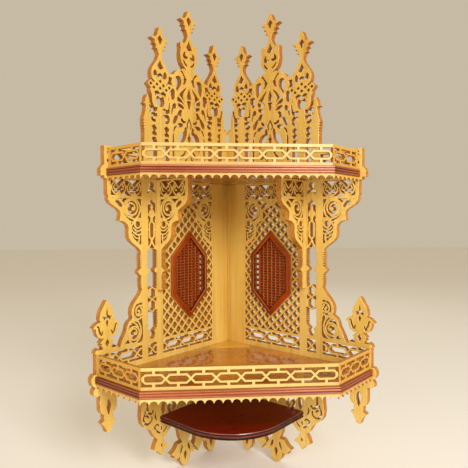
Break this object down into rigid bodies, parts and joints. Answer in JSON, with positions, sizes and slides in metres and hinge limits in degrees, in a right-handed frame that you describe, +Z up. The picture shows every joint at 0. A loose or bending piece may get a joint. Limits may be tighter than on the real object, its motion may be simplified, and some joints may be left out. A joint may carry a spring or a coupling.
{
  "type": "corner home iconostasis",
  "caption": "Fretted wooden corner shelf for icons: pierced wall boards with spires and pendants, railed shelves and a small shelf below.",
  "frame": {"origin": "on the line where the backs of the two wall boards meet, which lies in the room's corner, level with the lower shelf's top", "axes": "+Z up, +Y into the room's corner, so the front faces -Y, +X to the right seen from the front"},
  "size_m": [0.4526, 0.304, 0.815],
  "materials": {
    "pale_wood": "varnished, semi-gloss",
    "red_wood": "stained and varnished, semi-gloss",
    "orange_wood": "stained and varnished, gloss",
    "corner_wood": "varnished, semi-gloss",
    "dark_wood": "stained and varnished, semi-gloss"
  },
  "bodies": {
    "root": {"bottom_shelf": "dark_wood", "inner_bracket_left": "pale_wood", "inner_bracket_right": "pale_wood", "lower_moulding_front": "red_wood", "lower_moulding_left": "red_wood", "lower_moulding_right": "red_wood", "lower_rail_front": "pale_wood", "lower_rail_left": "pale_wood", "lower_rail_right": "pale_wood", "lower_shelf": "orange_wood", "lower_shelf_corner_piece": "corner_wood", "lower_valance_front": "pale_wood", "lower_valance_left": "pale_wood", "lower_valance_right": "pale_wood", "medallion_frame_left": "red_wood", "medallion_frame_right": "red_wood", "medallion_grille_left": "red_wood", "medallion_grille_right": "red_wood", "upper_moulding_front": "red_wood", "upper_moulding_left": "red_wood", "upper_moulding_right": "red_wood", "upper_rail_front": "pale_wood", "upper_rail_left": "pale_wood", "upper_rail_right": "pale_wood", "upper_shelf": "orange_wood", "upper_valance_front": "pale_wood", "upper_valance_left": "pale_wood", "upper_valance_right": "pale_wood", "wall_board_left": "pale_wood", "wall_board_right": "pale_wood"}
  },
  "joints": []
}
